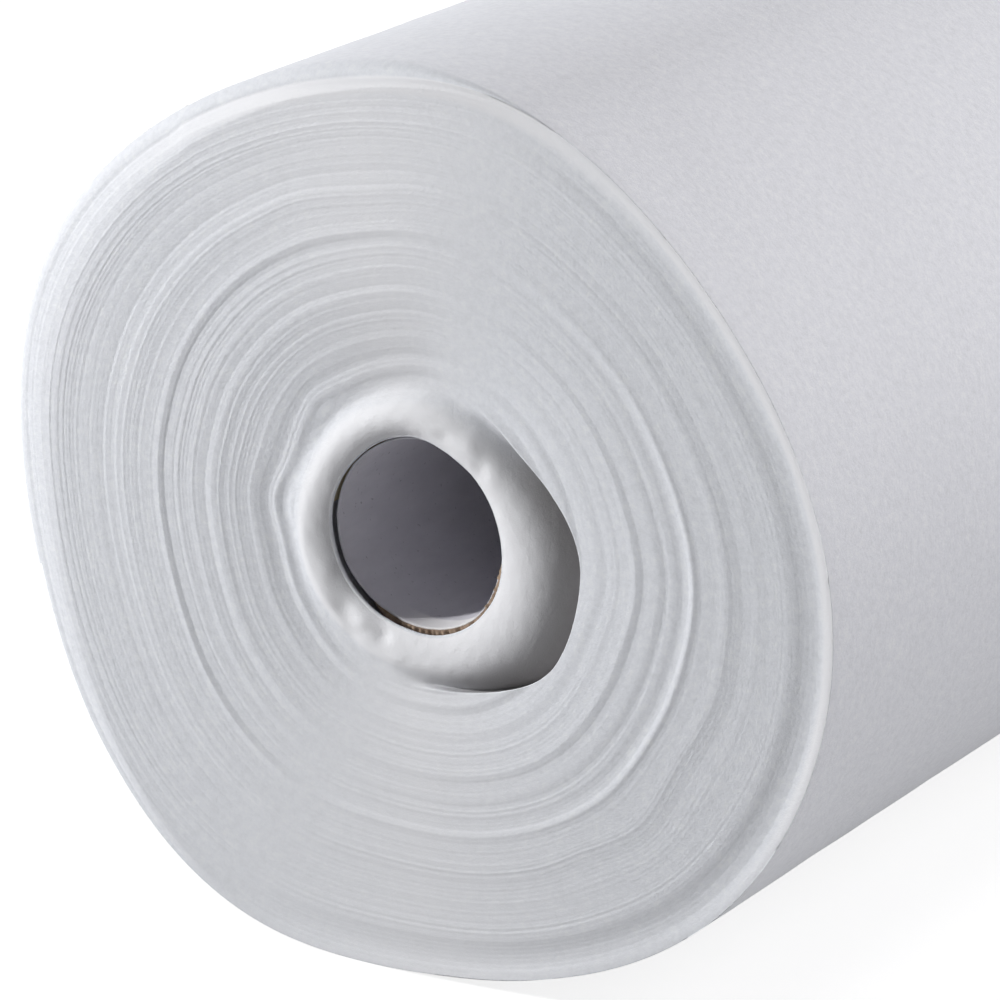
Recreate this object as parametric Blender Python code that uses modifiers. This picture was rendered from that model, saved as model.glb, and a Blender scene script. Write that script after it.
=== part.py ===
"""Roll of crop cover fabric: a folded spunbond web wound on a thin paper core. Metres, +Z up.

The roll lies on its side, its axis along Y and the end with the hollow round its core at -Y. Every radius is
measured from the core's axis, and every angle from +X towards +Z as seen from the -Y end. The wound turns
are one plain solid of the winding's outer shape, with the last turn's free tail on it.
"""
import math

import bmesh
import bpy

# Core: a grey liner ply inside a brown body ply
BORE_RADIUS = 0.0190
LINER_PLY = 0.0003
BODY_PLY = 0.0009
CORE_SHIFT = 0.0054          # how far the core has slid along the roll, towards +Y
CORE_OFFSET = 0.0023         # how far the core's axis lies from the outline's middle, towards +X

# Adhesive strip under the web's first edge
TAPE_WIDTH = 0.0160
TAPE_THICKNESS = 0.0002

# Web: folded once lengthwise, so one turn is two layers thick
WEB_WIDTH = 0.750
WEB_THICKNESS = 0.0005
ROLL_RADIUS = 0.0935
STEPS = 48                   # corners in one round
ROOT_STEP = 17               # the corner where the winding lets the tail go

# The outline isn't round: (lobes, height as a share of the radius, angle of one crest in degrees)
LOBE_SHARES = ((2, 0.016, 166.0), (3, 0.017, 105.0), (4, 0.014, 62.0), (5, 0.010, 13.0))
FLAT_DEPTH = 0.0016          # how far the soft roll sags where it lies on a surface

# The ends: how far the turns have slid along the roll, towards +Y
START_SLIDE = 0.0048         # first wraps, at the core
COLLAR_SLIDE = 0.0020        # the crest that the first wraps make, out of the hollow
DISH_DEPTH = 0.0052          # hollow round them
DISH_LEAN = 0.0018           # how much deeper the hollow is on one side, and shallower on the other
DISH_LEAN_ANGLE = -20        # degrees: the side where it is deepest
LIP_PROUD = 0.0003           # outermost turns, the other way
GROOVE_DEPTH = 0.0006        # just inside them
COLLAR_SHARE = 0.07          # of the way from core to outside: the crest
DISH_FOOT_SHARE = 0.18       # where the hollow is deepest
DISH_END_SHARE = 0.45        # where it has faded out
GROOVE_SHARE = 0.93
LIP_SHARE = 0.97
DISH_STEPS = 5               # corners up the hollow's slope

# Free tail of the web: panels that hinge on each other
TAIL_PANELS = 3
PANEL_LENGTH = 0.0360
TAIL_GAP = 0.0005            # between the tail and the turns under it

SEAT_GAP = 0.0003            # between faces that touch on the real roll
CUT_MARGIN = 0.0200          # how far a cutter runs past what it cuts
MERGE_DISTANCE = 0.00001

STEP_ANGLE = 2 * math.pi / STEPS
CORE_RADIUS = BORE_RADIUS + LINER_PLY + SEAT_GAP + BODY_PLY
SEAT_RADIUS = CORE_RADIUS + SEAT_GAP
TAPE_ANGLE = TAPE_WIDTH / SEAT_RADIUS
TAPE_STEPS = math.ceil(TAPE_ANGLE / STEP_ANGLE)
START_RADIUS = SEAT_RADIUS + TAPE_THICKNESS + SEAT_GAP
TAIL_STEP = WEB_THICKNESS + TAIL_GAP
ROOT_ANGLE = ROOT_STEP * STEP_ANGLE
PANEL_ANGLE = PANEL_LENGTH / ROLL_RADIUS
PANEL_STEPS = math.ceil(PANEL_ANGLE / STEP_ANGLE)
TAIL_STEPS = math.ceil(TAIL_PANELS * PANEL_ANGLE / STEP_ANGLE)


def smooth(value):
    """Ease from 0 to 1."""
    value = min(max(value, 0.0), 1.0)
    return value * value * (3 - 2 * value)


def outline(angle):
    """Distance from the core's axis to the roll's outside."""
    lobes = sum(share * math.cos(count * (angle - math.radians(crest)))
                for count, share, crest in LOBE_SHARES)
    return ROLL_RADIUS * (1 + lobes) - CORE_OFFSET * math.cos(angle)


def polar(radius, angle):
    """X and Z of a point at a radius and an angle."""
    return radius * math.cos(angle), radius * math.sin(angle)


def outer_radius(after_root):
    """Outer face of the wound turns, by the angle past the corner where they let the tail go.

    They lie under the tail, then climb back to the outline, which the last turn reaches again at its root.
    """
    tail = TAIL_STEPS * STEP_ANGLE
    climb = max(after_root - tail, 0) / (2 * math.pi - tail)
    return outline(ROOT_ANGLE + after_root) - TAIL_STEP * (1 - climb)


def turn_angles():
    """Angles past the tail's root of the sections that the wound turns are lofted from."""
    step_down = TAIL_STEP / ROLL_RADIUS
    return [step * STEP_ANGLE for step in range(STEPS)] + [2 * math.pi - step_down]


def end_shares():
    """Places of the end profile's corners, as shares of the way from core to outside."""
    collar = [0, COLLAR_SHARE / 2, COLLAR_SHARE, (COLLAR_SHARE + DISH_FOOT_SHARE) / 2, DISH_FOOT_SHARE]
    slope = DISH_END_SHARE - DISH_FOOT_SHARE
    dish = [DISH_FOOT_SHARE + slope * step / DISH_STEPS for step in range(1, DISH_STEPS + 1)]
    return collar + dish + [GROOVE_SHARE, LIP_SHARE, 1]


def slide(share, angle):
    """How far the turns at this share of the way out have slid along the roll, towards +Y."""
    depth = DISH_DEPTH + DISH_LEAN * math.cos(angle - math.radians(DISH_LEAN_ANGLE))
    if share <= COLLAR_SHARE:
        return START_SLIDE + (COLLAR_SLIDE - START_SLIDE) * smooth(share / COLLAR_SHARE)
    if share <= DISH_FOOT_SHARE:
        foot = smooth((share - COLLAR_SHARE) / (DISH_FOOT_SHARE - COLLAR_SHARE))
        return COLLAR_SLIDE + (depth - COLLAR_SLIDE) * foot
    if share > GROOVE_SHARE:
        lip = smooth((share - GROOVE_SHARE) / (LIP_SHARE - GROOVE_SHARE))
        return GROOVE_DEPTH - (LIP_PROUD + GROOVE_DEPTH) * lip
    dish = depth * (1 - smooth((share - DISH_FOOT_SHARE) / (DISH_END_SHARE - DISH_FOOT_SHARE)))
    return dish + GROOVE_DEPTH * smooth((share - DISH_END_SHARE) / (GROOVE_SHARE - DISH_END_SHARE))


def material(name, colour, roughness):
    made = bpy.data.materials.new(name)
    made.use_nodes = True
    shader = made.node_tree.nodes["Principled BSDF"]
    shader.inputs["Base Color"].default_value = (*colour, 1.0)
    shader.inputs["Roughness"].default_value = roughness
    shader.inputs["Metallic"].default_value = 0.0
    return made


def add(name, data, collection, parent, finish):
    piece = bpy.data.objects.new(name, data)
    collection.objects.link(piece)
    piece.parent = parent
    if finish:
        data.materials.append(finish)
    return piece


def empty(name, collection, parent, place):
    marker = bpy.data.objects.new(name, None)
    collection.objects.link(marker)
    marker.parent = parent
    marker.location = place
    return marker


def turned_ply(name, inner, thickness, collection, parent, finish):
    """A ply of the core: a rectangle at +X, turned about Y."""
    low = CORE_SHIFT - WEB_WIDTH / 2
    high = CORE_SHIFT + WEB_WIDTH / 2
    mesh = bpy.data.meshes.new(name)
    corners = [(inner, low, 0), (inner, high, 0), (inner + thickness, high, 0), (inner + thickness, low, 0)]
    mesh.from_pydata(corners, [(0, 1), (1, 2), (2, 3), (3, 0)], [])
    ply = add(name, mesh, collection, parent, finish)
    turn = ply.modifiers.new("turn", 'SCREW')
    turn.axis = 'Y'
    turn.steps = STEPS
    turn.render_steps = STEPS
    turn.use_merge_vertices = True
    turn.merge_threshold = MERGE_DISTANCE
    return ply


def arc_strip(name, radius_at, thickness, first_angle, arc, steps, slid, collection, parent, finish):
    """A strip along the roll: an arc of sheet under radius_at(angle), extruded along Y."""
    start = first_angle + SEAT_GAP / radius_at(first_angle)
    end = first_angle + arc
    angles = [start + (end - start) * step / steps for step in range(steps + 1)]
    outer = [polar(radius_at(angle), angle) for angle in angles]
    inner = [polar(radius_at(angle) - thickness, angle) for angle in reversed(angles)]
    curve = bpy.data.curves.new(name, 'CURVE')
    curve.dimensions = '2D'
    curve.fill_mode = 'BOTH'
    curve.extrude = WEB_WIDTH / 2
    origin = parent["centre"]
    spline = curve.splines.new('POLY')
    spline.points.add(len(outer + inner) - 1)
    for spot, (x, z) in zip(spline.points, outer + inner):
        spot.co = (x - origin[0], z - origin[1], 0, 1)
    spline.use_cyclic_u = True
    strip = add(name, curve, collection, parent, finish)
    strip.rotation_euler = (math.pi / 2, 0, 0)
    strip.location = (0, slid, 0)
    return strip


def wound_web(collection, parent, finish):
    """The wound turns: a closed ring, lofted from the section at each angle."""
    shape = bmesh.new()
    sections = []
    for after_root in turn_angles():
        angle = ROOT_ANGLE + after_root
        span = outer_radius(after_root) - START_RADIUS
        front = [(share, slide(share, angle) - WEB_WIDTH / 2) for share in end_shares()]
        back = [(share, slide(share, angle) + WEB_WIDTH / 2) for share in reversed(end_shares())]
        section = []
        for share, along in front + back:
            x, z = polar(START_RADIUS + span * share, angle)
            section.append(shape.verts.new((x, along, z)))
        sections.append(section)
    for here, there in zip(sections, sections[1:] + sections[:1]):
        for corner in range(len(here)):
            after = (corner + 1) % len(here)
            shape.faces.new((here[corner], here[after], there[after], there[corner]))
    bmesh.ops.recalc_face_normals(shape, faces=shape.faces)
    mesh = bpy.data.meshes.new("wound_web")
    shape.to_mesh(mesh)
    shape.free()
    return add("wound_web", mesh, collection, parent, finish)


def cut_flat(web, cutters, parent):
    """Cut the web where the roll lies on a surface."""
    size = (2 * ROLL_RADIUS, WEB_WIDTH + 2 * CUT_MARGIN, CUT_MARGIN)
    mesh = bpy.data.meshes.new("floor_cutter")
    box = bmesh.new()
    bmesh.ops.create_cube(box, size=1)
    bmesh.ops.scale(box, vec=size, verts=box.verts)
    box.to_mesh(mesh)
    box.free()
    cutter = add("floor_cutter", mesh, cutters, parent, None)
    cutter.location = (0, 0, flat_height() - CUT_MARGIN / 2)
    cutter.hide_render = True
    cutter.display_type = 'WIRE'
    cut = web.modifiers.new("flat", 'BOOLEAN')
    cut.operation = 'DIFFERENCE'
    cut.object = cutter


def roll_corners():
    """X and Z of the roll's outside, tail included."""
    turns = [polar(outer_radius(after_root), ROOT_ANGLE + after_root) for after_root in turn_angles()]
    tail_angles = [ROOT_ANGLE + step * STEP_ANGLE for step in range(TAIL_STEPS)]
    return turns + [polar(outline(angle), angle) for angle in tail_angles]


def flat_height():
    """Height of the flat, from the core's axis."""
    return min(z for x, z in roll_corners()) + FLAT_DEPTH


def build():
    for thing in list(bpy.data.objects):
        bpy.data.objects.remove(thing)
    roll = bpy.data.collections.new("roll_of_crop_cover_fabric")
    cutters = bpy.data.collections.new("cutters")
    bpy.context.scene.collection.children.link(roll)
    bpy.context.scene.collection.children.link(cutters)

    fleece = material("fleece", (0.82, 0.84, 0.87), 0.95)
    grey_board = material("grey_board", (0.17, 0.165, 0.19), 0.85)
    kraft = material("kraft", (0.36, 0.25, 0.15), 0.90)
    adhesive = material("adhesive_strip", (0.75, 0.66, 0.42), 0.40)

    # The origin is the middle of the roll's box, on the surface that the roll lies on
    across = [x for x, z in roll_corners()]
    deepest = max(DISH_DEPTH + DISH_LEAN, CORE_SHIFT)
    place = (-(min(across) + max(across)) / 2, -(deepest - LIP_PROUD) / 2, -flat_height())
    axis = empty("roll_axis", roll, None, place)
    axis["centre"] = (0.0, 0.0)

    turned_ply("core_liner_ply", BORE_RADIUS, LINER_PLY, roll, axis, grey_board)
    turned_ply("core_body_ply", CORE_RADIUS - BODY_PLY, BODY_PLY, roll, axis, kraft)

    arc_strip("core_start_tape", lambda angle: SEAT_RADIUS + TAPE_THICKNESS, TAPE_THICKNESS,
              ROOT_ANGLE, TAPE_ANGLE, TAPE_STEPS, START_SLIDE, roll, axis, adhesive)

    web = wound_web(roll, axis, fleece)
    cut_flat(web, cutters, axis)

    parent = axis
    for panel in range(TAIL_PANELS):
        angle = ROOT_ANGLE + panel * PANEL_ANGLE
        hinge_x, hinge_z = polar(outline(angle), angle)
        before_x, before_z = parent["centre"]
        place = (hinge_x - before_x, 0, hinge_z - before_z)
        pin = empty("tail_hinge_%d" % (panel + 1), roll, parent, place)
        pin["centre"] = (hinge_x, hinge_z)
        arc_strip("web_tail_%d" % (panel + 1), outline, WEB_THICKNESS,
                  angle, PANEL_ANGLE, PANEL_STEPS, -LIP_PROUD, roll, pin, fleece)
        parent = pin


build()
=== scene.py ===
"""Looks of the roll of crop cover fabric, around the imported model. Metres, +Z up.

Radii are measured from the core's axis, and angles from +X towards +Z as seen from the -Y end, as in
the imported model.
"""
import math

import bpy
import numpy as np
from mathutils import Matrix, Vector

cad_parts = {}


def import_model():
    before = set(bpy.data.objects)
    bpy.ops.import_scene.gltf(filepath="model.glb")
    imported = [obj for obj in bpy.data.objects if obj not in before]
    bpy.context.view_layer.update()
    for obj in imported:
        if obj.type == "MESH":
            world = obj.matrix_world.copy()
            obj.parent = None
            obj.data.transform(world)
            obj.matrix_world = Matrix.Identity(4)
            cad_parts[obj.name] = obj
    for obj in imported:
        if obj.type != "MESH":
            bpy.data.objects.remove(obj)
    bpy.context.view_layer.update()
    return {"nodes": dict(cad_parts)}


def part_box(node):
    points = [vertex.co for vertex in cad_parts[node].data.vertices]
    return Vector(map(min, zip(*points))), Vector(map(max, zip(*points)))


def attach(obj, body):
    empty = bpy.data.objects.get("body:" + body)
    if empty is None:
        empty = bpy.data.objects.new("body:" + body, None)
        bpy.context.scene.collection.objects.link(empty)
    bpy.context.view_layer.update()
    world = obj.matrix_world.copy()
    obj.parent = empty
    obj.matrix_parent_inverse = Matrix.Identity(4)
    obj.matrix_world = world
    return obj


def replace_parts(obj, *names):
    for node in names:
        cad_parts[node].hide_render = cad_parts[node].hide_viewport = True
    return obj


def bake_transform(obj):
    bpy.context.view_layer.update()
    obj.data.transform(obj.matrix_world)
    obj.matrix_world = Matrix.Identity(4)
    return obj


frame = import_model()

MM = 0.001
DEGREE = math.pi / 180

# The core, from the frame
LINER_LOW, LINER_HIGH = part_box("core_liner_ply")
BODY_LOW, BODY_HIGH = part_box("core_body_ply")
AXIS_X = (LINER_LOW.x + LINER_HIGH.x) / 2
AXIS_Z = (LINER_LOW.z + LINER_HIGH.z) / 2
CORE_RADIUS = (BODY_HIGH.x - BODY_LOW.x) / 2
LINER_RADIUS = (LINER_HIGH.x - LINER_LOW.x) / 2
LINER_PLY = 0.3 * MM
GLUE_LINE = 0.02 * MM

# The web, from the frame
WEB_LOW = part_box("wound_web")[0]
TAIL_LOW, TAIL_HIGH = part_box("web_tail_1")
LIP_PROUD = 0.3 * MM          # how far the rim's lip stands before the face's plane
WEB_WIDTH = TAIL_HIGH.y - TAIL_LOW.y
FACE_Y = WEB_LOW.y + LIP_PROUD
BACK_Y = FACE_Y + WEB_WIDTH

# The outline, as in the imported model. The radius, the offset and the lobes are rounded from a least-squares
# fit to the photo's outline. A lobe is its count, its height as a share of the radius and the angle of one
# crest in degrees.
ROLL_RADIUS = 0.0935
CORE_OFFSET = 0.0023
LOBE_SHARES = ((2, 0.016, 166.0), (3, 0.017, 105.0), (4, 0.014, 62.0), (5, 0.010, 13.0))
CORE_CLEARANCE = 0.8 * MM     # from the core to the first wrap
START_RADIUS = CORE_RADIUS + CORE_CLEARANCE
UNDERCUT_DEPTH = 4.9 * MM     # of the wall round the core, behind the face's plane
SPAN = ROLL_RADIUS - START_RADIUS

# The free tail: where it leaves the roll, where it ends, and how thick it is
TAIL_ROOT = 127.5 * DEGREE
PANEL_LENGTH = 0.0360
PANEL_ANGLE = PANEL_LENGTH / ROLL_RADIUS
TAIL_PANELS = 3
TAIL_END = TAIL_ROOT + TAIL_PANELS * PANEL_ANGLE
TAIL_THICKNESS = 0.42 * MM
TAIL_DROP = 0.55 * MM
ROOT_WEDGE = 3 * DEGREE
TAIL_WAVE = 0.12 * MM         # half the height of the waves near its free end
TAIL_END_WAVE = 0.35 * MM     # how far that end's line wanders

EDGE_ROUNDING = 0.5 * MM      # of the first wraps' edge
LINE_WIDTH = 0.9 * MM         # of the fine lines along the turns' edges
LINE_LENGTH = 22 * MM
COLUMNS = 540                 # points in one round
FACE_STOP_SHARES = (0.32, 0.86, 1.0)
FACE_ROWS = (90, 8, 50, 230, 56)
SEED = 7

# The rim and the side
SHOULDER_DROP = 1.7 * MM
GROOVE_DEPTH = 0.58 * MM
GROOVE_START_SHARE = 0.865
GROOVE_WIDTH_SHARE = 0.065
LIP_START_SHARE = 0.945
LIP_WIDTH_SHARE = 0.055
LIP_RISE = 0.2 * MM           # how far the lip stands before the face's plane
LIP_DIP = 0.3 * MM            # how much lower it is at the lower right
CORNER_SHARP = 0.06           # rounding between face and side, in mm
CORNER_SOFT = 3.1             # how much more there is where the rim is a soft shoulder
SAG_HEIGHT = 0.09 * MM
SAG_LENGTH = 0.11

# Fine ridges of the turns' edges
RIDGE_SETS = 14
RIDGE_COUNTS = (26, 100)      # ridges on the way out, in the coarsest set and in the finest
RIDGE_HEIGHT = 0.012 * MM

# The back face
BACK_BOWL_SHARE = 0.7         # how far it stands out, as a share of the front's depth
BACK_SHOULDER = 1.2 * MM


def smooth(value):
    """Ease from 0 to 1."""
    value = np.clip(value, 0.0, 1.0)
    return value * value * (3 - 2 * value)


def wrap(angle):
    """Angle between -180 and 180 degrees, in radians."""
    return (angle + math.pi) % (2 * math.pi) - math.pi


def sector(angle, centre, half, edge):
    """1 within half degrees of the centre, easing to 0 over edge degrees."""
    away = np.abs(wrap(angle - centre * DEGREE)) / DEGREE
    return 1 - smooth((away - half) / edge + 0.5)


def hump(value, centre, width):
    return np.exp(-((value - centre) / width) ** 2)


def wander(angle, counts, seed, drift=0.0):
    """A smooth random curve round the roll, about -1 to 1. Drift shifts its phases."""
    dice = np.random.RandomState(SEED + seed)
    total = 0.0
    for count in counts:
        phase, turn = dice.uniform(0, 2 * math.pi), dice.uniform(-1, 1)
        total = total + np.cos(count * angle + phase + turn * drift)
    return total / math.sqrt(len(counts))


def outline(angle):
    """Distance from the core's axis to the roll's outside."""
    lobes = sum(share * np.cos(count * (angle - crest * DEGREE)) for count, share, crest in LOBE_SHARES)
    return ROLL_RADIUS * (1 + lobes) - CORE_OFFSET * np.cos(angle)


def roll_radius(angle):
    """The roll under its tail, and where the last turn climbs back to the outline."""
    after_root = (angle - TAIL_ROOT) % (2 * math.pi)
    tail_arc = TAIL_END - TAIL_ROOT
    climb = np.clip((after_root - tail_arc) / (2 * math.pi - tail_arc), 0, 1)
    wedge = smooth((after_root - 2 * math.pi + ROOT_WEDGE) / ROOT_WEDGE)
    return outline(angle) - TAIL_DROP * np.maximum(1 - climb, wedge)


# The tables below were typed after measuring crops of the photo, and changed over many renders.

# The collar, which the first wraps make round the bore: distances from the core's axis and depths behind the
# face's plane, in mm. On the right a trough lies outside it.
CREST_PLACES = (
    (0, 25.4), (30, 23.8), (90, 24.4), (110, 23.6), (130, 23.0), (160, 22.7), (190, 24.8), (220, 24.8),
    (285, 24.6), (310, 25.4), (335, 26.0),
)
CREST_DEPTH = 0.6
COLLAR_DROPS = (              # from the crest in to its edge over the core, at angles in degrees
    (0, 1.1), (60, 1.2), (90, 2.5), (110, 2.2), (130, 1.7), (160, 1.25), (190, 2.0), (220, 2.7),
    (250, 2.0), (280, 1.2),
)
FLANK_DROPS = (               # from the crest out to its foot where there is no trough
    (30, 3.0), (70, 2.8), (90, 2.9), (110, 2.3), (130, 1.8), (160, 1.3), (190, 0.9), (220, 1.1),
    (250, 1.3), (290, 1.3),
)
FOOT_PLACES = (               # where the collar's flank ends
    (5, 29.0), (25, 29.6), (50, 30.5), (70, 31.2), (85, 32.0), (100, 31.0), (115, 30.2), (130, 29.4),
    (145, 28.5), (160, 28.2), (190, 28.4), (220, 28.2), (250, 28.6), (285, 29.8), (308, 28.6),
    (325, 29.0), (340, 29.4),
)
EDGE_PLACES = (               # how far the first wraps reach in over the core's rim
    (0, 20.2), (50, 20.3), (70, 20.1), (90, 20.3), (110, 19.8), (130, 19.1), (160, 18.8), (190, 19.2),
    (220, 19.4), (245, 19.0), (265, 18.7), (285, 19.4), (310, 20.0), (335, 20.3),
)
TROUGH_REACH = 8.0            # how much further out the foot lies in the trough
TROUGH_DROP = 8.5             # from the crest to its floor
TROUGH_CENTRE = 345           # the angle where it is widest, in degrees
TROUGH_HALF = 66              # how far from there it has narrowed to nothing
GROOVE_HALF = 86              # and how far its narrow groove runs
TROUGH_EASE = 52
OVERHANG = 3.0                # of the turns outside the trough
DISH_DEPTH = 1.6              # of the turns next to the collar
DISH_TOP_DEPTH = 1.3          # how much deeper they lie at the top
COLLAR_LUMPS = 0.022

# Dents and lumps of the collar: angle in degrees, distance from the core's axis, the spread of each, and the
# depth in mm
DENTS = (
    (227, 23.2, 7, 2.0, 0.7), (239, 21.4, 5, 1.6, -0.3), (252, 21.8, 5, 1.6, 0.5),
    (262, 25.0, 6, 2.0, -0.2), (238, 25.6, 6, 1.8, 0.35), (47, 23.4, 5, 2.0, 0.5),
    (58, 25.6, 5, 1.8, -0.3), (70, 23.5, 5, 1.5, 0.3), (205, 22.0, 6, 2.0, -0.2),
)

# Rings: share of the way out, and how far the turns stand proud there, in mm before the factor. Their first
# values were read from a plot that a program made of the photo's brightness.
RING_HEIGHTS = (
    (0.12, -0.05), (0.15, -0.44), (0.185, -0.10), (0.21, -0.32), (0.235, -0.10), (0.262, 0.08),
    (0.29, 0.02), (0.32, 0.14), (0.345, 0.12), (0.388, 0.25), (0.411, -0.01), (0.455, 0.03),
    (0.48, -0.13), (0.50, -0.08), (0.53, -0.20), (0.546, -0.14), (0.563, 0.15), (0.582, -0.02),
    (0.63, 0.0), (0.668, 0.10), (0.70, -0.05), (0.725, -0.11), (0.76, -0.05), (0.80, -0.06),
    (0.86, 0.04), (0.92, 0.0),
)
RING_FACTOR = 1.12
RING_ROUNDING_SHARE = 0.011

# Where the soft shoulder of the left side starts, as a share of the way out, at angles in degrees
SHOULDER_SHARES = (
    (85, 0.98), (100, 0.97), (115, 0.95), (130, 0.915), (145, 0.885), (160, 0.87), (175, 0.88),
    (190, 0.895), (205, 0.915), (220, 0.95), (240, 0.975),
)

# How far the inner turns lie out from an even spacing, in mm, at angles in degrees
DRIFTS = (
    (0, 1.5), (20, 2.1), (45, 2.5), (70, 1.2), (100, -0.7), (115, -1.2), (130, -2.4), (145, -3.7),
    (160, -4.8), (175, -4.0), (190, -4.2), (205, -4.2), (220, -3.6), (250, -1.8), (285, 0.0),
    (315, 0.0), (330, -0.7), (345, -0.1),
)

# Waves in the turns: distance from the core's axis, its spread, angle, its spread, how far the turns move
WAVES = (
    (69.0, 7.0, 97, 7, -0.7), (68.0, 8.0, 112, 6, 0.5), (34.0, 7.0, 132, 8, 0.9),
    (34.0, 7.0, 116, 8, -0.4), (33.0, 7.0, 176, 10, 1.2), (33.0, 7.0, 154, 9, -0.7),
    (72.0, 7.0, 305, 6, -0.8), (72.0, 7.0, 318, 6, 0.8), (72.0, 7.0, 332, 7, -0.9),
    (72.0, 7.0, 347, 6, 0.5),
)


def share_of(millimetres):
    """Share of the way from the first wrap to the outside."""
    return (millimetres * MM - START_RADIUS) / SPAN


def eased(points, at, reach, period=None):
    """Straight runs between points, rounded off within reach."""
    places, values = zip(*points)
    offsets = np.linspace(-0.9, 0.9, 9)
    weights = 1 + np.cos(math.pi * offsets)
    total = sum(weight * np.interp(at + offset * reach, places, values, period=period)
                for weight, offset in zip(weights, offsets))
    return total / weights.sum()


def rounded_side(angle):
    """Where the rim is a soft shoulder; elsewhere it is a lip behind a groove."""
    return sector(angle, 160, 76, 36)


def wave_shift(share, angle):
    """How far the turns lie out from an even spacing."""
    inside = smooth(share / 0.16) * (1 - smooth((share - 0.58) / 0.38))
    shift = MM * inside * eased(DRIFTS, angle / DEGREE, 9, 360)
    shift = shift + 0.12 * MM * smooth(share / 0.2) * wander(angle, (7, 9, 12), 1, 5 * share)
    for place, spread, centre, width, move in WAVES:
        along = hump(share, share_of(place), spread * MM / SPAN)
        shift = shift + move * MM * along * hump(wrap(angle - centre * DEGREE), 0, width * DEGREE)
    return shift


def trough(angle, half=TROUGH_HALF):
    """1 where the hollow outside the collar is widest, 0 at half degrees from there and beyond."""
    away = np.abs(wrap(angle - TROUGH_CENTRE * DEGREE)) / DEGREE
    return smooth((half - away) / TROUGH_EASE)


def trough_depth(angle):
    """1 where the hollow is deepest. It runs on at its ends as a narrow groove."""
    return trough(angle, GROOVE_HALF)


def crest_radius(angle):
    """Distance from the core's axis to the collar's crest."""
    return eased(CREST_PLACES, angle / DEGREE, 14, 360) * MM


def collar_reach(angle):
    """Distance from the core's axis to the first wraps' edge."""
    return eased(EDGE_PLACES, angle / DEGREE, 10, 360) * MM


def foot_radius(angle):
    """Where the collar's flank ends, from the core's axis."""
    place = eased(FOOT_PLACES, angle / DEGREE, 10, 360)
    return MM * (place + TROUGH_REACH * trough(angle) + 0.15 * wander(angle, (5, 9), 6))


def foot_width(angle):
    """The turns outside the collar start with a wall at the trough, and a soft valley elsewhere."""
    soft = np.maximum(1 - smooth(trough_depth(angle) / 0.3), 0.7 * sector(angle, 52, 14, 36))
    return MM * (1.5 + 2.3 * soft)


def past_foot(share, angle):
    """0 on the collar, 1 on the turns outside it."""
    return smooth((turn_radius(share, angle) - foot_radius(angle)) / foot_width(angle) + 0.5)


def rings(share, angle):
    """Turns that stand proud of others, the same all round the roll."""
    uneven = 1 + 0.3 * wander(angle, (1, 2, 3), 3, 9 * share)
    return RING_FACTOR * MM * uneven * eased(RING_HEIGHTS, share, RING_ROUNDING_SHARE)


def bowl(share, radius, angle):
    """How far the turns lie behind the face's plane: collar, trough, dish and rings, without the rim."""
    fall, foot = trough_depth(angle), foot_radius(angle)
    crest = crest_radius(angle)
    top = CREST_DEPTH + 0.12 * wander(angle, (2, 3, 5, 7), 8)
    inner = np.clip((crest - radius) / (crest - collar_reach(angle)), 0, 1)
    outer = np.clip((radius - crest) / (foot + OVERHANG * MM * fall - crest), 0, 1)
    within = eased(COLLAR_DROPS, angle / DEGREE, 14, 360) * inner ** 2
    flank = eased(FLANK_DROPS, angle / DEGREE, 14, 360) * smooth(outer)
    collar = top + within + (1 - fall) * flank + fall * TROUGH_DROP * outer ** 1.9
    for centre, place, spread, width, depth in DENTS:
        across = hump(wrap(angle - centre * DEGREE), 0, spread * DEGREE)
        collar = collar + depth * across * hump(radius, place * MM, width * MM)
    collar = collar + COLLAR_LUMPS * wander(angle, (13, 19, 27, 38), 15, 60 * radius / CORE_RADIUS)
    deepest = DISH_DEPTH + DISH_TOP_DEPTH * sector(angle, 85, 25, 60)
    dish = deepest * (1 - smooth((share - 0.10) / 0.47))
    outside = past_foot(share, angle)
    return MM * (collar * (1 - outside) + dish * outside) - rings(share, angle) * outside


def rim(share, angle):
    """The rim of the face: a shoulder, or a groove and a lip."""
    soft = rounded_side(angle)
    start = eased(SHOULDER_SHARES, angle / DEGREE, 8)
    shoulder = SHOULDER_DROP * np.clip((share - start) / (1 - start), 0, 1) ** 1.8
    groove = GROOVE_DEPTH * (0.6 + 0.4 * sector(angle, 318, 34, 40))
    height = groove + LIP_RISE - LIP_DIP * sector(angle, 306, 12, 26)
    lip = smooth((share - LIP_START_SHARE) / LIP_WIDTH_SHARE) * height
    sunk = groove * smooth((share - GROOVE_START_SHARE) / GROOVE_WIDTH_SHARE)
    return soft * shoulder + (1 - soft) * (sunk - lip)


def layer_ridges(share, angle):
    """Fine ridges that the edges of the turns make: many spirals, each stronger on one side."""
    dice = np.random.RandomState(SEED + 5)
    total = 0.0
    for count in np.linspace(*RIDGE_COUNTS, RIDGE_SETS):
        phase, side = dice.uniform(0, 2 * math.pi, 2)
        swell = 0.55 + 0.45 * np.cos(angle * dice.randint(1, 4) + side)
        total = total + swell * (40 / count) * np.sin(2 * math.pi * count * share - angle + phase)
    calm = 1 - 0.65 * sector(angle, 10, 50, 70)
    return RIDGE_HEIGHT * total * smooth((share - 0.08) / 0.06) * calm


def recess(share, radius, angle):
    """How far the front face lies behind its plane."""
    return bowl(share, radius, angle) + rim(share, angle) - layer_ridges(share, angle)


def back_slide(share, radius, angle):
    """How far the back face lies past its plane: the turns that slid in at the front stand out here."""
    shoulder = BACK_SHOULDER * np.clip((share - 0.93) / 0.07, 0, 1) ** 2
    return BACK_BOWL_SHARE * bowl(share, radius, angle) - shoulder + layer_ridges(share, -angle)


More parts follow.
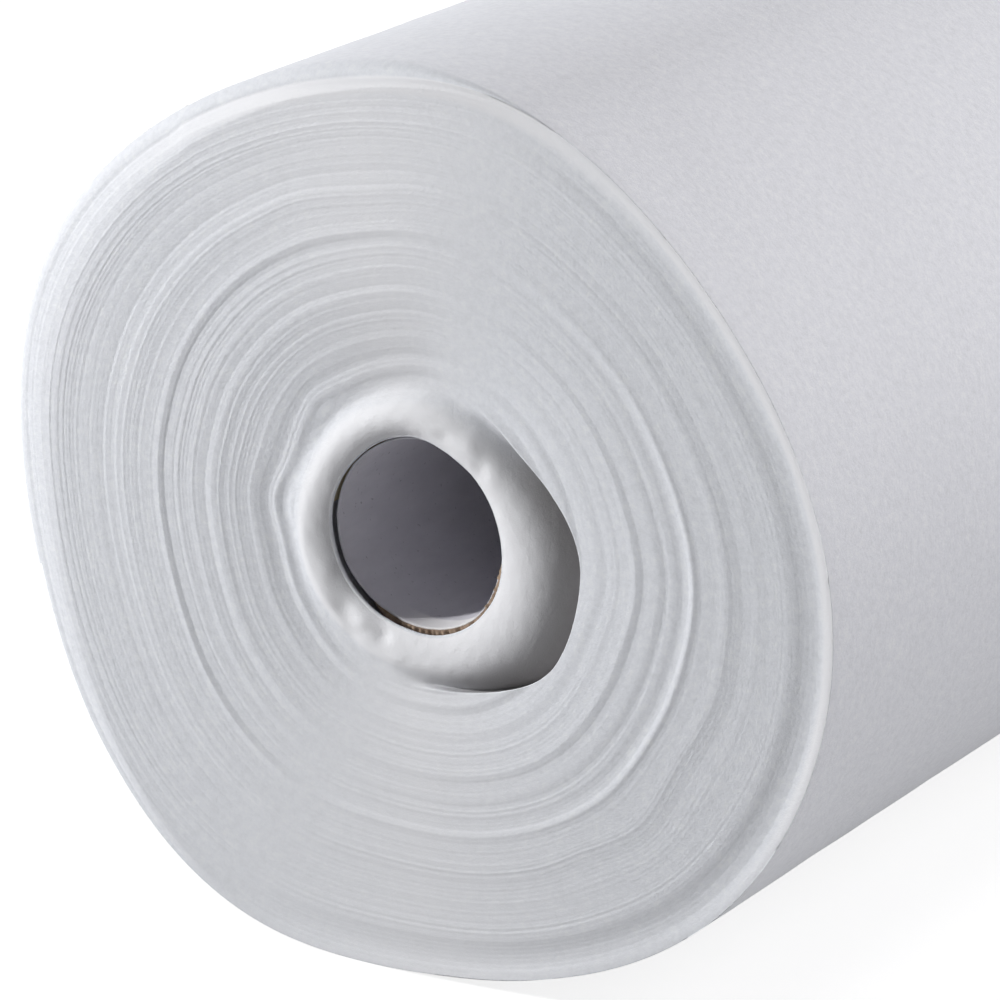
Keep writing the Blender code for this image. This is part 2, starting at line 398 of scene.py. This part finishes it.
def put(radius, angle, y):
    """Points from radius, angle and Y, as rows of columns."""
    radius, angle, y = np.broadcast_arrays(radius, angle, y)
    return np.stack([AXIS_X + radius * np.cos(angle), y, AXIS_Z + radius * np.sin(angle)], axis=-1)


def make_object(name, points, faces, finish):
    mesh = bpy.data.meshes.new(name)
    mesh.from_pydata(points, [], faces)
    mesh.update()
    mesh.shade_smooth()
    piece = bpy.data.objects.new(name, mesh)
    bpy.context.scene.collection.objects.link(piece)
    mesh.materials.append(finish)
    return piece


def ring_mesh(name, grid, finish):
    """A closed skin: rows of points that go round a section, each row a closed ring."""
    rows, columns = grid.shape[:2]
    index = np.arange(rows * columns).reshape(rows, columns)
    after = np.roll(index, -1, axis=0)
    quads = np.stack([index, np.roll(index, -1, axis=1), np.roll(after, -1, axis=1), after], axis=-1)
    return make_object(name, grid.reshape(-1, 3), quads.reshape(-1, 4), finish)


def slab_mesh(name, top, bottom, finish):
    """A closed sheet between two grids of points of one size."""
    rows, columns = top.shape[:2]
    over = np.arange(rows * columns).reshape(rows, columns)
    under = over + rows * columns
    faces = []
    for grid, turned in ((over, False), (under, True)):
        quads = np.stack([grid[:-1, :-1], grid[:-1, 1:], grid[1:, 1:], grid[1:, :-1]], axis=-1)
        quads = quads.reshape(-1, 4)
        faces.extend(quads[:, ::-1] if turned else quads)
    for edge, below in ((over[0], under[0]), (over[:, -1], under[:, -1]),
                        (over[-1, ::-1], under[-1, ::-1]), (over[::-1, 0], under[::-1, 0])):
        faces.extend(np.stack([edge[1:], edge[:-1], below[:-1], below[1:]], axis=-1))
    points = np.concatenate([top.reshape(-1, 3), bottom.reshape(-1, 3)])
    piece = make_object(name, points, faces, finish)
    piece.data.set_sharp_from_angle(angle=50 * DEGREE)
    return piece


def mark(piece, name, values, kind='FLOAT', field="value"):
    """Give a piece's points values, which its finish reads by name."""
    piece.data.attributes.new(name, kind, 'POINT').data.foreach_set(field, values.ravel())


def spans(*parts):
    """Evenly spaced values along each part (start, end, count), joined."""
    pieces = [np.linspace(start, end, count, endpoint=False) for start, end, count in parts]
    return np.concatenate(pieces + [np.array([parts[-1][1]])])


def column_angles():
    return np.linspace(0, 2 * math.pi, COLUMNS, endpoint=False)[None, :]


def corner_radius(angle):
    """Rounding between the end face and the side."""
    return (CORNER_SHARP + CORNER_SOFT * rounded_side(angle)) * MM


def side_sag(y, angle):
    """Faint undulation of the side."""
    along = 2 * math.pi * y / SAG_LENGTH
    slow = wander(angle, (3, 5, 8), 9, 2.0 * along)
    return SAG_HEIGHT * (slow + 0.5 * wander(angle, (9, 14), 10, 5 * along))


def turn_radius(share, angle):
    """Distance from the core's axis to the turn at a share of the way out of an end face."""
    tuck = outline(angle) - roll_radius(angle) + corner_radius(angle)
    even = START_RADIUS + (outline(angle) - START_RADIUS) * share - tuck * smooth((share - 0.75) / 0.25)
    return even + wave_shift(share, angle)


def trough_reach(share, angle):
    """0 at the collar's crest, 1 at its foot and beyond."""
    crest = crest_radius(angle)
    return np.clip((turn_radius(share, angle) - crest) / (foot_radius(angle) - crest), 0, 1)


def face_radius(share, angle):
    """As turn_radius, with the trough's floor drawn out under the turns outside it."""
    under = OVERHANG * MM * trough_depth(angle) * trough_reach(share, angle) ** 2
    return turn_radius(share, angle) + under * (1 - past_foot(share, angle))


def share_at(radius, angle):
    """Share of the way out at which the turns lie at a radius, for each column."""
    tried = np.linspace(-0.05, 1, 841)[:, None]
    found = turn_radius(tried, angle)
    return np.array([[np.interp(at, column, tried[:, 0]) for at, column in zip(radius[0], found.T)]])


def face_shares(angle):
    """Shares of the way out for the front face's rows, close together at the collar's foot and the rim."""
    half_wall = foot_width(angle) / 2
    foot = foot_radius(angle)
    inner_edge = collar_reach(angle) + EDGE_ROUNDING * np.ones_like(angle)
    stops = [share_at(place, angle) for place in (inner_edge, foot - half_wall, foot + half_wall)]
    stops += [np.full_like(angle, stop) for stop in FACE_STOP_SHARES]
    rows = []
    for start, end, count in zip(stops, stops[1:], FACE_ROWS):
        rows.append(start + (end - start) * np.linspace(0, 1, count, endpoint=False)[:, None])
    return np.concatenate(rows + [stops[-1]])


def painted_floor_shade(share, angle):
    """Painted shade: where the fleece is made dark, on the trough's floor and outer wall.

    This is set by place to come nearer to the photo, and isn't the cloth's own colour.
    """
    inward = trough_depth(angle) * smooth((trough_reach(share, angle) - 0.12) / 0.6)
    return inward * (1 - past_foot(share, angle) ** 4)


def painted_light_parts(share, angle):
    """Painted light: where the fleece is made paler, as painted highlights on the collar and parts of the
    rim, and painted light on two broad areas of the face.

    This is set by place too.
    """
    collar_highlight = (1 - past_foot(share, angle)) * (1 - smooth((trough_reach(share, angle) - 0.3) / 0.5))
    rim_top = smooth((share - 0.93) / 0.04) * sector(angle, 92, 34, 40)
    rim_right = smooth((share - 0.96) / 0.02) * sector(angle, 20, 50, 40)
    below = 0.9 * sector(angle, 272, 20, 80)
    above = 0.9 * sector(angle, 98, 14, 60)
    return np.maximum(np.maximum(collar_highlight, np.maximum(rim_top, rim_right)), np.maximum(below, above))


def line_places(share, angle):
    """Places in the texture of fine lines, which change fast across the turns and slowly along them."""
    across, along = SPAN / LINE_WIDTH, SPAN / LINE_LENGTH
    places = np.broadcast_arrays(share * across, along * np.cos(angle), along * np.sin(angle))
    return np.stack(places, axis=-1)


def wound_roll(finish):
    """The whole winding: front face, side, back face and the wall round the core."""
    angle = column_angles()
    outside = roll_radius(angle)
    corner = corner_radius(angle)
    front = face_shares(angle)
    turn = spans((0, 1, 10))[1:, None] * math.pi / 2
    back = spans((1, 0.86, 24), (0.86, 0.22, 120), (0.22, 0, 50))[:, None]

    radius = face_radius(front, angle)
    front_y = FACE_Y + recess(front, radius, angle)
    round_in = spans((1, 0, 5))[:-1, None] * math.pi / 2
    inner_y = front_y[:1] + EDGE_ROUNDING * (1 - np.cos(round_in))
    grid = [put(radius[:1] - EDGE_ROUNDING * np.sin(round_in), angle, inner_y)]
    grid.append(put(radius, angle, front_y))
    rim_y = front_y[-1:]
    grid.append(put(outside - corner * (1 - np.sin(turn)), angle, rim_y + corner * (1 - np.cos(turn))))

    last_y = rim_y + corner
    back_radius = turn_radius(back, angle)
    back_y = BACK_Y + back_slide(back, back_radius, angle)
    back_rim = back_y[:1]
    along = spans((0, 0.1, 16), (0.1, 0.9, 60), (0.9, 1, 12))[1:-1, None]
    side_y = last_y + (back_rim - corner - last_y) * along
    fade = np.minimum(smooth(along / 0.03), smooth((1 - along) / 0.03))
    grid.append(put(outside + fade * side_sag(side_y, angle), angle, side_y))
    grid.append(put(outside - corner * (1 - np.cos(turn)), angle, back_rim - corner * (1 - np.sin(turn))))
    grid.append(put(back_radius[1:], angle, back_y[1:]))
    wall = spans((0, 1, 6))[1:, None]
    under_y = FACE_Y + UNDERCUT_DEPTH
    grid.append(put(START_RADIUS, angle, back_y[-1:] + (under_y - back_y[-1:]) * wall))
    piece = ring_mesh("wound_roll", np.concatenate(grid), finish)

    rows = sum(len(part) for part in grid)
    painted_shade, painted_light, lay = np.zeros((rows, COLUMNS)), np.zeros((rows, COLUMNS)), np.zeros((rows, COLUMNS, 3))
    face_start = len(round_in)
    back_start = rows - len(wall) - len(back_radius) + 1
    # Painted shade on the trough's floor and outer wall.
    painted_shade[face_start:face_start + len(front)] = painted_floor_shade(front, angle)
    # Painted highlights on the collar and rim, and painted light on two broad areas of the face.
    painted_light[face_start:face_start + len(front)] = painted_light_parts(front, angle)
    for first, shares in ((face_start, front), (back_start, back[1:])):
        lay[first:first + len(shares)] = line_places(shares, angle)
    mark(piece, "painted_shade", painted_shade)
    mark(piece, "painted_light", painted_light)
    mark(piece, "lay", lay, 'FLOAT_VECTOR', "vector")
    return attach(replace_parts(piece, "wound_web"), "roll")


# Colours of the fleece. The last two are painted light and painted shade for its marked places, and aren't
# the cloth's own.
FLEECE_STOPS = ((0.35, (0.755, 0.775, 0.815)), (0.50, (0.80, 0.82, 0.87)), (0.66, (0.85, 0.87, 0.90)))
FLEECE_PAINTED_LIGHT = (0.905, 0.91, 0.94)
FLEECE_PAINTED_SHADE = (0.34, 0.33, 0.335)


def finish_nodes(name):
    made = bpy.data.materials.new(name)
    made.use_nodes = True
    tree = made.node_tree
    return made, tree, tree.nodes["Principled BSDF"]


def node(tree, kind, **values):
    """A shader node, with values for its settings and for its inputs."""
    made = tree.nodes.new(kind)
    for key, value in values.items():
        if key in made.inputs:
            made.inputs[key].default_value = value
        else:
            setattr(made, key, value)
    return made


def ramp(tree, source, stops):
    """Colours by value: stops are (position, colour)."""
    made = tree.nodes.new("ShaderNodeValToRGB")
    band = made.color_ramp
    while len(band.elements) < len(stops):
        band.elements.new(1.0)
    for element, (position, colour) in zip(band.elements, stops):
        element.position = position
        element.color = (*colour, 1.0)
    tree.links.new(source, made.inputs["Fac"])
    return made.outputs["Color"]


def mix_colours(tree, factor, first, second):
    """From the first colour to the second, a plain one, by a factor."""
    made = node(tree, "ShaderNodeMix", data_type='RGBA')
    tree.links.new(factor, made.inputs["Factor"])
    tree.links.new(first, made.inputs["A"])
    made.inputs["B"].default_value = (*second, 1.0)
    return made.outputs["Result"]


def noise(tree, place, scale, detail=3.0, roughness=0.55, stretch=None):
    if stretch:
        mapping = tree.nodes.new("ShaderNodeMapping")
        mapping.inputs["Scale"].default_value = stretch
        tree.links.new(place, mapping.inputs["Vector"])
        place = mapping.outputs["Vector"]
    made = tree.nodes.new("ShaderNodeTexNoise")
    made.inputs["Scale"].default_value = scale
    made.inputs["Detail"].default_value = detail
    made.inputs["Roughness"].default_value = roughness
    tree.links.new(place, made.inputs["Vector"])
    return made.outputs["Fac"]


def bump(tree, height, strength, distance, before=None):
    made = tree.nodes.new("ShaderNodeBump")
    made.inputs["Strength"].default_value = strength
    made.inputs["Distance"].default_value = distance
    tree.links.new(height, made.inputs["Height"])
    if before:
        tree.links.new(before, made.inputs["Normal"])
    return made.outputs["Normal"]


def fleece_finish():
    """Spunbond fleece: matt white fibre with fine streaks, with painted light and painted shade where it is
    marked.
    """
    made, tree, shader = finish_nodes("fleece")
    place = tree.nodes.new("ShaderNodeTexCoord").outputs["Object"]
    mottle = noise(tree, place, 620.0, 5.0, 0.75)
    colour = ramp(tree, mottle, FLEECE_STOPS)
    # Painted highlights and painted light where marked.
    painted_light = node(tree, "ShaderNodeAttribute", attribute_name="painted_light")
    with_painted_light = mix_colours(tree, painted_light.outputs["Fac"], colour, FLEECE_PAINTED_LIGHT)
    # Painted shade in the trough where marked.
    painted_shade = node(tree, "ShaderNodeAttribute", attribute_name="painted_shade")
    shaded = mix_colours(tree, painted_shade.outputs["Fac"], with_painted_light, FLEECE_PAINTED_SHADE)
    tree.links.new(shaded, shader.inputs["Base Color"])
    shader.inputs["Roughness"].default_value = 0.6
    shader.inputs["Specular IOR Level"].default_value = 0.4
    lay = node(tree, "ShaderNodeAttribute", attribute_name="lay").outputs["Vector"]
    layers = noise(tree, lay, 1.0, 3.0, 0.65)
    fibre = noise(tree, place, 1300.0, 5.0, 0.75)
    streak = noise(tree, place, 160.0, 4.0, 0.6, (1.0, 3.0, 1.0))
    normal = bump(tree, layers, 0.25, 0.10 * MM)
    normal = bump(tree, fibre, 0.9, 0.13 * MM, normal)
    normal = bump(tree, streak, 0.20, 0.12 * MM, normal)
    tree.links.new(normal, shader.inputs["Normal"])
    return made


def board_finish(name, dark, light, speck, painted_light_pool=(0.88, 0.87, 0.88)):
    """Paper board: matt, with fibre flecks and specks, and pale where a pool of light is painted on it."""
    made, tree, shader = finish_nodes(name)
    place = tree.nodes.new("ShaderNodeTexCoord").outputs["Object"]
    cloud = noise(tree, place, 260.0, 5.0, 0.6, (1.0, 0.35, 1.0))
    base = ramp(tree, cloud, ((0.3, dark), (0.7, light)))
    dots = noise(tree, place, 1100.0, 2.0, 0.5)
    mask = ramp(tree, dots, ((0.68, (0, 0, 0)), (0.74, (1, 1, 1))))
    flecked = mix_colours(tree, mask, base, speck)
    # A pool of light painted where the points are marked.
    light_pool = node(tree, "ShaderNodeAttribute", attribute_name="painted_light_pool")
    tree.links.new(mix_colours(tree, light_pool.outputs["Fac"], flecked, painted_light_pool), shader.inputs["Base Color"])
    shader.inputs["Roughness"].default_value = 0.85
    tree.links.new(bump(tree, cloud, 0.35, 0.08 * MM), shader.inputs["Normal"])
    return made


LIGHT_POOL_REACH = 6.2 * MM         # how far in from the core's rim the painted pool of light on its bottom reaches
LIGHT_POOL_EASE = 1.0 * MM


def tube(name, inner, outer, low, high, front_edge, finish, light_pool_level=0.0, columns=720):
    """A ply of the core. front_edge(angle) moves its front rim along Y.

    The last argument is how pale it is at the bottom near that rim: a painted pool of light, set by place to
    come nearer to the photo.
    """
    angle = np.linspace(0, 2 * math.pi, columns, endpoint=False)[None, :]
    along = spans((0, 0.02, 20), (0.02, 1, 20))[:, None]
    edge = low + front_edge(angle)
    wall_y = edge + (high - edge) * along
    skin = put(outer, angle, wall_y)
    inside = put(inner, angle, wall_y[::-1])
    piece = ring_mesh(name, np.concatenate([skin, inside]), finish)
    # Painted pool of light on the bottom of the bore, near its rim.
    light_pool = light_pool_level * sector(angle, 283, 26, 30) * smooth((edge + LIGHT_POOL_REACH - wall_y) / LIGHT_POOL_EASE)
    mark(piece, "painted_light_pool", np.concatenate([light_pool, light_pool[::-1]]))
    return piece


def core(liner_finish, body_finish):
    def torn(angle):
        """The core's rim is torn, and stands further out on the right."""
        return -2.0 * MM * sector(angle, 338, 22, 40)

    def liner_edge(angle):
        fray = 0.06 * MM * (1 + wander(angle, (13, 23, 41), 12))
        return torn(angle) + fray - 1.0 * MM * sector(angle, 175, 50, 50)

    def body_edge(angle):
        ragged = sector(angle, 310, 60, 30) * (0.6 + 0.4 * wander(angle, (17, 31, 53, 89), 13))
        return torn(angle) + MM * (4.0 * sector(angle, 160, 70, 30) - ragged)

    # The liner gets a painted pool of light at its bottom.
    liner = tube("core_liner", LINER_RADIUS - LINER_PLY, LINER_RADIUS,
                 LINER_LOW.y, LINER_HIGH.y, liner_edge, liner_finish, light_pool_level=1.0)
    body = tube("core_body", LINER_RADIUS + GLUE_LINE, CORE_RADIUS,
                BODY_LOW.y, BODY_HIGH.y, body_edge, body_finish)
    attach(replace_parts(liner, "core_liner_ply"), "roll")
    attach(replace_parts(body, "core_body_ply"), "roll")


def tail_sheets(finish):
    """The free end of the web, as three sheets that wrap the roll's corners."""
    middles = [TAIL_ROOT + (panel + 0.5) * PANEL_ANGLE for panel in range(TAIL_PANELS)]
    bounds = [TAIL_ROOT - ROOT_WEDGE, middles[0], middles[1], TAIL_END]
    wrap_angle = 80 * DEGREE
    for panel in range(TAIL_PANELS):
        angle = np.linspace(bounds[panel], bounds[panel + 1], 34)[:, None]
        roll, corner = roll_radius(angle), corner_radius(angle)
        rim_radius = roll - corner
        end = np.ones((1, 1))
        front = FACE_Y + recess(end, rim_radius, angle) + corner
        back = BACK_Y + back_slide(end, rim_radius, angle) - corner
        along = spans((0, 0.05, 12), (0.05, 0.95, 60), (0.95, 1, 12))[None, :]
        bend_front = np.linspace(wrap_angle, 0, 9)[:-1]
        bend_back = np.linspace(0, wrap_angle, 9)[1:]
        bend = np.concatenate([bend_front, 0 * along[0], bend_back])
        is_back = np.arange(len(bend)) > len(bend) / 2
        middle = np.concatenate([0 * bend_front, along[0], np.ones_like(bend_back)])
        flush = 1 - smooth(bend / wrap_angle)
        lift = smooth((angle - TAIL_END + 0.08) / 0.08)
        y = front + (back - front) * middle
        wave = TAIL_WAVE * lift * flush * (1 + np.sin(y * 61) * np.sin(y * 23 + 1))
        over = (outline(angle) - roll) * flush + (0.10 * flush - 0.05) * MM + wave
        wedge = smooth((angle - bounds[0]) / ROOT_WEDGE) if panel == 0 else 1.0
        thick = np.minimum(TAIL_THICKNESS * wedge * flush, over - 0.04 * MM - wave)
        thick = np.maximum(thick, 0.02 * MM)
        end_wave = TAIL_END_WAVE * lift * np.sin(y * 47 + 0.6) * np.sin(y * 19)
        turned = angle + end_wave / ROLL_RADIUS

        def surface(offset):
            outwards = (corner + offset) * np.sin(bend)
            radius = rim_radius + (corner + offset) * np.cos(bend)
            return put(radius, turned, y + np.where(is_back, outwards, -outwards))

        top = surface(over)
        piece = slab_mesh("tail_sheet_%d" % (panel + 1), top, surface(over - thick), finish)
        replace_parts(piece, "web_tail_%d" % (panel + 1))
        hinge_angle = TAIL_ROOT + panel * PANEL_ANGLE
        hinge = Vector(put(outline(hinge_angle), hinge_angle, 0.0))
        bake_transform(piece)


# Camera and lights. The camera's angles, distance and lens come from a least-squares fit to the photo's
# outlines.
CAMERA_AIM = Vector((AXIS_X + 0.0210, FACE_Y, AXIS_Z + 0.0122))
CAMERA_AZIMUTH = 32.28 * DEGREE
CAMERA_HEIGHT = 18.40 * DEGREE
CAMERA_DISTANCE = 1.0305
CAMERA_LENS = 196.0
KEY_ANGLE = 157.5 * DEGREE    # round the face: from the left and a little above
KEY_LEAN = 28 * DEGREE        # out from the face's plane
SIDE_TINT = (1.0, 0.975, 0.985)
AMBIENT_LEVEL = 0.04
FLOOR_GREY = 0.42
FLOOR_GLOW = 0.8


def camera():
    data = bpy.data.cameras.new("camera")
    data.lens = CAMERA_LENS
    data.sensor_width = 36
    data.clip_end = 100
    made = bpy.data.objects.new("camera", data)
    bpy.context.scene.collection.objects.link(made)
    level = math.cos(CAMERA_HEIGHT)
    back = Vector((math.sin(CAMERA_AZIMUTH) * level, -math.cos(CAMERA_AZIMUTH) * level,
                   math.sin(CAMERA_HEIGHT)))
    made.location = CAMERA_AIM + back * CAMERA_DISTANCE
    made.rotation_euler = (math.pi / 2 - CAMERA_HEIGHT, 0, CAMERA_AZIMUTH)
    bpy.context.scene.camera = made


def lamp(name, target, direction, distance, size, level, colour=(1, 1, 1)):
    """A soft lamp that gives a white surface facing it, at its target, that level."""
    data = bpy.data.lights.new(name, 'AREA')
    data.shape = 'DISK'
    data.size = size
    data.energy = level * math.pi ** 2 * distance ** 2
    data.color = colour
    made = bpy.data.objects.new(name, data)
    bpy.context.scene.collection.objects.link(made)
    away = Vector(direction).normalized()
    made.location = Vector(target) + away * distance
    made.rotation_euler = away.to_track_quat('Z', 'Y').to_euler()


def lights():
    face = (AXIS_X, FACE_Y, AXIS_Z)
    side = (AXIS_X, FACE_Y + 0.25, AXIS_Z)
    lean = math.tan(KEY_LEAN)
    lamp("key", face, (math.cos(KEY_ANGLE), -lean, math.sin(KEY_ANGLE)), 1.5, 0.14, 0.98)
    lamp("right", side, (0.95, 0.15, 0.20), 2.2, 0.9, 0.29, SIDE_TINT)
    lamp("back", side, (0.47, 0.80, 0.36), 2.2, 0.7, 0.36, SIDE_TINT)
    lamp("top", side, (0.10, 0.55, 0.83), 2.2, 1.2, 0.455, SIDE_TINT)
    lamp("front", face, (0.45, -0.85, 0.10), 2.0, 1.0, 0.05)


def world():
    made = bpy.data.worlds.new("world")
    bpy.context.scene.world = made
    made.use_nodes = True
    tree = made.node_tree
    ambient = tree.nodes["Background"]
    ambient.inputs["Color"].default_value = (1.0, 1.0, 1.0, 1)
    ambient.inputs["Strength"].default_value = AMBIENT_LEVEL
    seen = node(tree, "ShaderNodeBackground", Color=(1, 1, 1, 1), Strength=1.0)
    path = tree.nodes.new("ShaderNodeLightPath")
    either = any_of(tree, path, ("Is Camera Ray", "Is Glossy Ray", "Is Transmission Ray"))
    mix = tree.nodes.new("ShaderNodeMixShader")
    tree.links.new(either, mix.inputs[0])
    tree.links.new(ambient.outputs[0], mix.inputs[1])
    tree.links.new(seen.outputs[0], mix.inputs[2])
    tree.links.new(mix.outputs[0], tree.nodes["World Output"].inputs["Surface"])


def any_of(tree, path, names):
    """The largest of a Light Path node's outputs."""
    last = path.outputs[names[0]]
    for name in names[1:]:
        most = node(tree, "ShaderNodeMath", operation='MAXIMUM')
        tree.links.new(last, most.inputs[0])
        tree.links.new(path.outputs[name], most.inputs[1])
        last = most.outputs[0]
    return last


def floor():
    half = 6.0
    angle = column_angles()
    height = float((AXIS_Z + roll_radius(angle) * np.sin(angle)).min())
    corners = [(-half, -half, height), (half, -half, height), (half, half, height), (-half, half, height)]
    made, tree, shader = finish_nodes("floor")
    shader.inputs["Base Color"].default_value = (FLOOR_GREY, FLOOR_GREY, FLOOR_GREY, 1)
    shader.inputs["Roughness"].default_value = 1.0
    shader.inputs["Specular IOR Level"].default_value = 0.0
    glow = node(tree, "ShaderNodeEmission", Color=(1, 1, 1, 1), Strength=FLOOR_GLOW)
    path = tree.nodes.new("ShaderNodeLightPath")
    seen = any_of(tree, path, ("Is Camera Ray", "Is Glossy Ray", "Is Transmission Ray"))
    both = tree.nodes.new("ShaderNodeAddShader")
    tree.links.new(shader.outputs[0], both.inputs[0])
    tree.links.new(glow.outputs[0], both.inputs[1])
    mix = tree.nodes.new("ShaderNodeMixShader")
    tree.links.new(seen, mix.inputs[0])
    tree.links.new(shader.outputs[0], mix.inputs[1])
    tree.links.new(both.outputs[0], mix.inputs[2])
    tree.links.new(mix.outputs[0], tree.nodes["Material Output"].inputs["Surface"])
    piece = make_object("floor", corners, [(0, 1, 2, 3)], made)


def main():
    bpy.context.scene.view_settings.view_transform = 'Standard'
    camera()
    lights()
    world()
    floor()
    fleece = fleece_finish()
    grey = board_finish("grey_board", (0.62, 0.61, 0.66), (0.70, 0.69, 0.74), (0.46, 0.45, 0.49))
    kraft = board_finish("kraft_board", (0.20, 0.14, 0.10), (0.36, 0.26, 0.18), (0.10, 0.07, 0.05))
    tape = board_finish("adhesive_strip", (0.70, 0.62, 0.42), (0.78, 0.70, 0.50), (0.55, 0.48, 0.32))
    wound_roll(fleece)
    core(grey, kraft)
    tail_sheets(fleece)
    strip = frame["nodes"]["core_start_tape"]
    strip.data.materials.clear()
    strip.data.materials.append(tape)


main()
